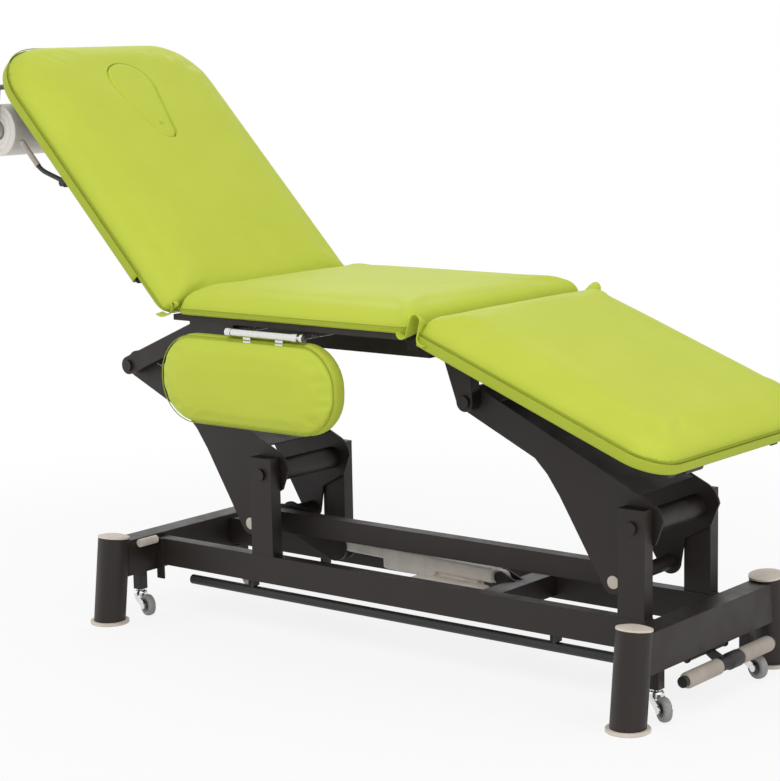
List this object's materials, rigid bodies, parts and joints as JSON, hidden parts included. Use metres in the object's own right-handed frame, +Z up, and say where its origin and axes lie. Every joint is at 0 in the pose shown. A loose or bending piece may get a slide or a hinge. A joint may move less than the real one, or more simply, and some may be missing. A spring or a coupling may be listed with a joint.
{
  "type": "examination table",
  "caption": "Height-adjustable examination table with a raised padded backrest, flat seat, sloping leg section, hanging armrest and wheeled dark steel frame.",
  "frame": {"origin": "on the floor, under the middle of the whole table's bounding box", "axes": "+X to the foot end, +Z up, the armrest's side is -Y"},
  "size_m": [1.8082, 0.6521, 1.2693],
  "materials": {
    "frame_paint": "satin dark brown powder coat",
    "grey_plastic": "matt warm grey",
    "actuator_plastic": "matt pale grey",
    "dark_plastic": "black coat",
    "bright_steel": "bright plated",
    "board": "dark stained board",
    "vinyl": "lime green vinyl with a fine grain",
    "paper": "white crepe paper",
    "wheel_grey": "grey rubber tread"
  },
  "bodies": {
    "base": {"legs": "frame_paint", "leg_caps": "grey_plastic", "floor_rings": "grey_plastic", "end_beams": "frame_paint", "beam_pad": "grey_plastic", "side_rails": "frame_paint", "uprights": "frame_paint", "cross_member": "frame_paint", "caster_sleeves": "frame_paint", "control_lugs": "frame_paint", "lower_pivot_pins": "frame_paint"},
    "head_arm": {"head_arm_plates": "frame_paint", "head_arm_tubes": "frame_paint", "head_arm_cover": "frame_paint", "head_arm_lever": "frame_paint"},
    "foot_arm": {"foot_arm_plates": "frame_paint", "foot_arm_tubes": "frame_paint", "foot_arm_cover": "frame_paint"},
    "tie_bar": {"tie_bar": "frame_paint", "tie_pins": "grey_plastic"},
    "actuator_body": {"actuator_housing": "actuator_plastic", "actuator_motor": "actuator_plastic"},
    "actuator_rod": {"actuator_rod": "bright_steel", "actuator_eye": "dark_plastic"},
    "upper_frame": {"seat_frame": "frame_paint", "arm_brackets": "frame_paint", "upper_pivot_pins": "frame_paint", "seat_board": "board", "seat_pad": "vinyl", "armrest_bracket": "bright_steel"},
    "armrest": {"armrest_hinge": "bright_steel", "armrest_pad": "vinyl"},
    "backrest": {"backrest_frame": "frame_paint", "backrest_board": "board", "backrest_pad": "vinyl", "paper_roll_holder": "bright_steel"},
    "face_hole_plug": {"face_hole_plug": "vinyl"},
    "paper_roll": {"paper_roll": "paper"},
    "backrest_lever": {"backrest_lever": "dark_plastic"},
    "backrest_spring_body": {"backrest_spring_body": "dark_plastic"},
    "backrest_spring_rod": {"backrest_spring_rod": "bright_steel"},
    "leg_section": {"leg_frame": "frame_paint", "leg_board": "board", "leg_pad": "vinyl"},
    "leg_lever": {"leg_lever": "dark_plastic"},
    "leg_spring_body": {"leg_spring_body": "dark_plastic"},
    "leg_spring_rod": {"leg_spring_rod": "bright_steel"},
    "foot_bar_near": {"foot_bar_near": "dark_plastic"},
    "foot_bar_far": {"foot_bar_far": "dark_plastic"},
    "caster_pedal": {"pedal_lever": "dark_plastic", "pedal_pads": "grey_plastic"},
    "caster_stems": {"caster_stems": "bright_steel"},
    "fork_head_near": {"fork_head_near": "bright_steel"},
    "wheel_head_near": {"wheel_head_near": "wheel_grey"},
    "fork_head_far": {"fork_head_far": "bright_steel"},
    "wheel_head_far": {"wheel_head_far": "wheel_grey"},
    "fork_foot_near": {"fork_foot_near": "bright_steel"},
    "wheel_foot_near": {"wheel_foot_near": "wheel_grey"},
    "fork_foot_far": {"fork_foot_far": "bright_steel"},
    "wheel_foot_far": {"wheel_foot_far": "wheel_grey"}
  },
  "joints": [
    {"name": "lift", "type": "hinge", "parent": "base", "child": "head_arm", "pos_m": [-0.2044, 0.01393, 0.349], "axis": [0, 1, 0], "range_deg": [-15, 27]},
    {"name": "foot_arm_turn", "type": "hinge", "parent": "base", "child": "foot_arm", "pos_m": [0.7326, 0.01393, 0.349], "axis": [0, 1, 0], "range_deg": [-15.5, 27.5]},
    {"name": "upper_frame_level", "type": "hinge", "parent": "head_arm", "child": "upper_frame", "pos_m": [-0.5934, 0.01393, 0.556], "axis": [0, 1, 0], "range_deg": [-27.5, 15.5]},
    {"name": "tie_bar_level", "type": "hinge", "parent": "head_arm", "child": "tie_bar", "pos_m": [-0.2644, 0.01393, 0.229], "axis": [0, 1, 0], "range_deg": [-27.5, 15.5]},
    {"name": "actuator_tilt", "type": "hinge", "parent": "base", "child": "actuator_body", "pos_m": [0.3266, 0.01393, 0.167], "axis": [0, 1, 0], "range_deg": [-4.4, 2.6]},
    {"name": "actuator_stroke", "type": "slide", "parent": "actuator_body", "child": "actuator_rod", "axis": [-0.9996, 0, 0.0272], "range_m": [-0.046, 0.082]},
    {"name": "armrest_swing", "type": "hinge", "parent": "upper_frame", "child": "armrest", "pos_m": [0.1316, -0.30407, 0.686], "axis": [1, 0, 0], "range_deg": [-90, 0]},
    {"name": "backrest_tilt", "type": "hinge", "parent": "upper_frame", "child": "backrest", "pos_m": [-0.3084, 0.01393, 0.737], "axis": [0, 1, 0], "range_deg": [-46.5, 28.5]},
    {"name": "backrest_spring_tilt", "type": "hinge", "parent": "upper_frame", "child": "backrest_spring_body", "pos_m": [-0.2924, 0.01393, 0.64], "axis": [0, 1, 0], "range_deg": [-34.5, 21.5]},
    {"name": "backrest_spring_stroke", "type": "slide", "parent": "backrest_spring_body", "child": "backrest_spring_rod", "axis": [-0.8089, 0, 0.5879], "range_m": [-0.062, 0.0383]},
    {"name": "leg_tilt", "type": "hinge", "parent": "upper_frame", "child": "leg_section", "pos_m": [0.3436, 0.01393, 0.698], "axis": [0, 1, 0], "range_deg": [-21, 0]},
    {"name": "leg_spring_tilt", "type": "hinge", "parent": "upper_frame", "child": "leg_spring_body", "pos_m": [0.2516, 0.01393, 0.64], "axis": [0, 1, 0], "range_deg": [-13, 0.5]},
    {"name": "leg_spring_stroke", "type": "slide", "parent": "leg_spring_body", "child": "leg_spring_rod", "axis": [0.9955, 0, -0.0948], "range_m": [-0.0005, 0.0225]},
    {"name": "backrest_lever_turn", "type": "hinge", "parent": "backrest", "child": "backrest_lever", "pos_m": [-0.61625, -0.26607, 0.97424], "axis": [0, 1, 0], "range_deg": [0, 8], "stiffness_Nm_per_rad": 3, "springref_deg": -5.73},
    {"name": "leg_lever_turn", "type": "hinge", "parent": "leg_section", "child": "leg_lever", "pos_m": [0.80466, -0.12607, 0.50388], "axis": [0, 1, 0], "range_deg": [0, 10], "stiffness_Nm_per_rad": 3, "springref_deg": -8.59},
    {"name": "paper_roll_spin", "type": "hinge", "parent": "backrest", "child": "paper_roll", "pos_m": [-0.84612, 0.01393, 1.08283], "axis": [0, 1, 0], "continuous": true},
    {"name": "face_hole_plug_lift", "type": "slide", "parent": "backrest", "child": "face_hole_plug", "axis": [0.7254, 0, 0.6884], "range_m": [0, 0.09]},
    {"name": "foot_bar_near_swing", "type": "hinge", "parent": "base", "child": "foot_bar_near", "pos_m": [0.1316, -0.10807, 0.103], "axis": [1, 0, 0], "range_deg": [-6, 6], "stiffness_Nm_per_rad": 6},
    {"name": "foot_bar_far_swing", "type": "hinge", "parent": "base", "child": "foot_bar_far", "pos_m": [0.1316, 0.13593, 0.103], "axis": [1, 0, 0], "range_deg": [-6, 6], "stiffness_Nm_per_rad": 6},
    {"name": "caster_pedal_press", "type": "hinge", "parent": "base", "child": "caster_pedal", "pos_m": [0.8096, 0.01393, 0.088], "axis": [0, 1, 0], "range_deg": [0, 20]},
    {"name": "caster_stems_lower", "type": "slide", "parent": "base", "child": "caster_stems", "axis": [0, 0, -1], "range_m": [0, 0.0125]},
    {"name": "swivel_head_near", "type": "hinge", "parent": "caster_stems", "child": "fork_head_near", "pos_m": [-0.5464, -0.15607, 0.045], "axis": [0, 0, 1], "continuous": true},
    {"name": "wheel_spin_head_near", "type": "hinge", "parent": "fork_head_near", "child": "wheel_head_near", "pos_m": [-0.51406, -0.16658, 0.0255], "axis": [0.309, 0.9511, 0], "continuous": true},
    {"name": "swivel_head_far", "type": "hinge", "parent": "caster_stems", "child": "fork_head_far", "pos_m": [-0.5464, 0.18393, 0.045], "axis": [0, 0, 1], "continuous": true},
    {"name": "wheel_spin_head_far", "type": "hinge", "parent": "fork_head_far", "child": "wheel_head_far", "pos_m": [-0.51558, 0.16956, 0.0255], "axis": [0.4226, 0.9063, 0], "continuous": true},
    {"name": "swivel_foot_near", "type": "hinge", "parent": "caster_stems", "child": "fork_foot_near", "pos_m": [0.8096, -0.15607, 0.045], "axis": [0, 0, 1], "continuous": true},
    {"name": "wheel_spin_foot_near", "type": "hinge", "parent": "fork_foot_near", "child": "wheel_foot_near", "pos_m": [0.83779, -0.17508, 0.0255], "axis": [0.5592, 0.829, 0], "continuous": true},
    {"name": "swivel_foot_far", "type": "hinge", "parent": "caster_stems", "child": "fork_foot_far", "pos_m": [0.8096, 0.18393, 0.045], "axis": [0, 0, 1], "continuous": true},
    {"name": "wheel_spin_foot_far", "type": "hinge", "parent": "fork_foot_far", "child": "wheel_foot_far", "pos_m": [0.84155, 0.1723, 0.0255], "axis": [0.342, 0.9397, 0], "continuous": true}
  ],
  "couplings": [
    {"joint": "foot_arm_turn", "follows": "lift", "ratio": 1},
    {"joint": "upper_frame_level", "follows": "lift", "ratio": -1},
    {"joint": "tie_bar_level", "follows": "lift", "ratio": -1},
    {"joint": "actuator_tilt", "follows": "lift", "ratio": -0.1534},
    {"joint": "actuator_stroke", "follows": "lift", "m_per_rad": 0.17001},
    {"joint": "backrest_spring_tilt", "follows": "backrest_tilt", "ratio": 0.726},
    {"joint": "backrest_spring_stroke", "follows": "backrest_tilt", "m_per_rad": 0.075057},
    {"joint": "leg_spring_tilt", "follows": "leg_tilt", "ratio": 0.588},
    {"joint": "leg_spring_stroke", "follows": "leg_tilt", "m_per_rad": -0.058387},
    {"joint": "caster_stems_lower", "follows": "caster_pedal_press", "m_per_rad": 0.034377}
  ]
}
